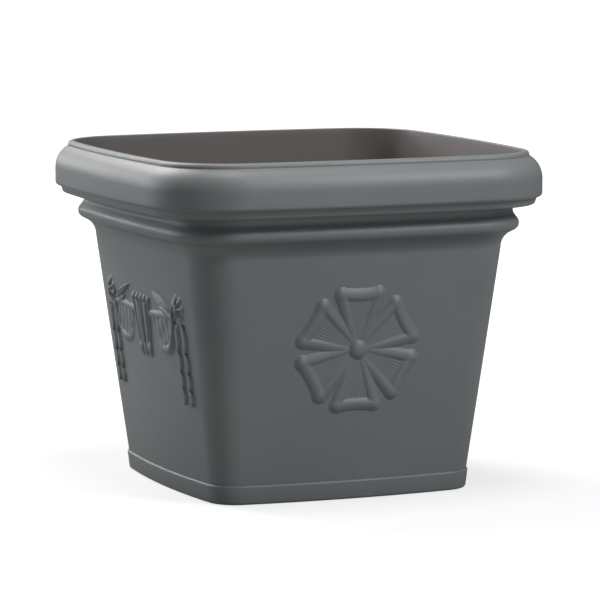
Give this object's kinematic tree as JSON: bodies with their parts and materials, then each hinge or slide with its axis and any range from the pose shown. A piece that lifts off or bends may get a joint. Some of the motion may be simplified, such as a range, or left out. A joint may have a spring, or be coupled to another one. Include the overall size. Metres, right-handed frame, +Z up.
{
  "type": "square planter",
  "caption": "Square tapered planter with bowed sides, a bullnose rim, moulded rosettes and festoons, a lift-out drainage grid and drain plugs.",
  "frame": {"origin": "middle of the footprint, on the ground", "axes": "+Z up, -Y towards the front wall with its rosette"},
  "size_m": [0.3998, 0.3998, 0.318],
  "materials": {
    "pot_plastic": "matte anthracite, faintly grained",
    "grid_plastic": "black, matte",
    "plug_rubber": "soft black rubber"
  },
  "bodies": {
    "pot": {"pot_shell": "pot_plastic"},
    "grid": {"drainage_grid": "grid_plastic", "grid_leg_front": "grid_plastic", "grid_leg_back": "grid_plastic", "grid_leg_left": "grid_plastic", "grid_leg_right": "grid_plastic", "grid_leg_centre": "grid_plastic"},
    "plug_front_left": {"drain_plug_front_left": "plug_rubber"},
    "plug_front_right": {"drain_plug_front_right": "plug_rubber"},
    "plug_back_left": {"drain_plug_back_left": "plug_rubber"},
    "plug_back_right": {"drain_plug_back_right": "plug_rubber"}
  },
  "joints": [
    {"name": "grid_lift", "type": "slide", "parent": "pot", "child": "grid", "axis": [0, 0, 1], "range_m": [0, 0.32]},
    {"name": "plug_pull_front_left", "type": "slide", "parent": "pot", "child": "plug_front_left", "axis": [0, 0, 1], "range_m": [0, 0.018]},
    {"name": "plug_pull_front_right", "type": "slide", "parent": "pot", "child": "plug_front_right", "axis": [0, 0, 1], "range_m": [0, 0.018]},
    {"name": "plug_pull_back_left", "type": "slide", "parent": "pot", "child": "plug_back_left", "axis": [0, 0, 1], "range_m": [0, 0.018]},
    {"name": "plug_pull_back_right", "type": "slide", "parent": "pot", "child": "plug_back_right", "axis": [0, 0, 1], "range_m": [0, 0.018]}
  ]
}
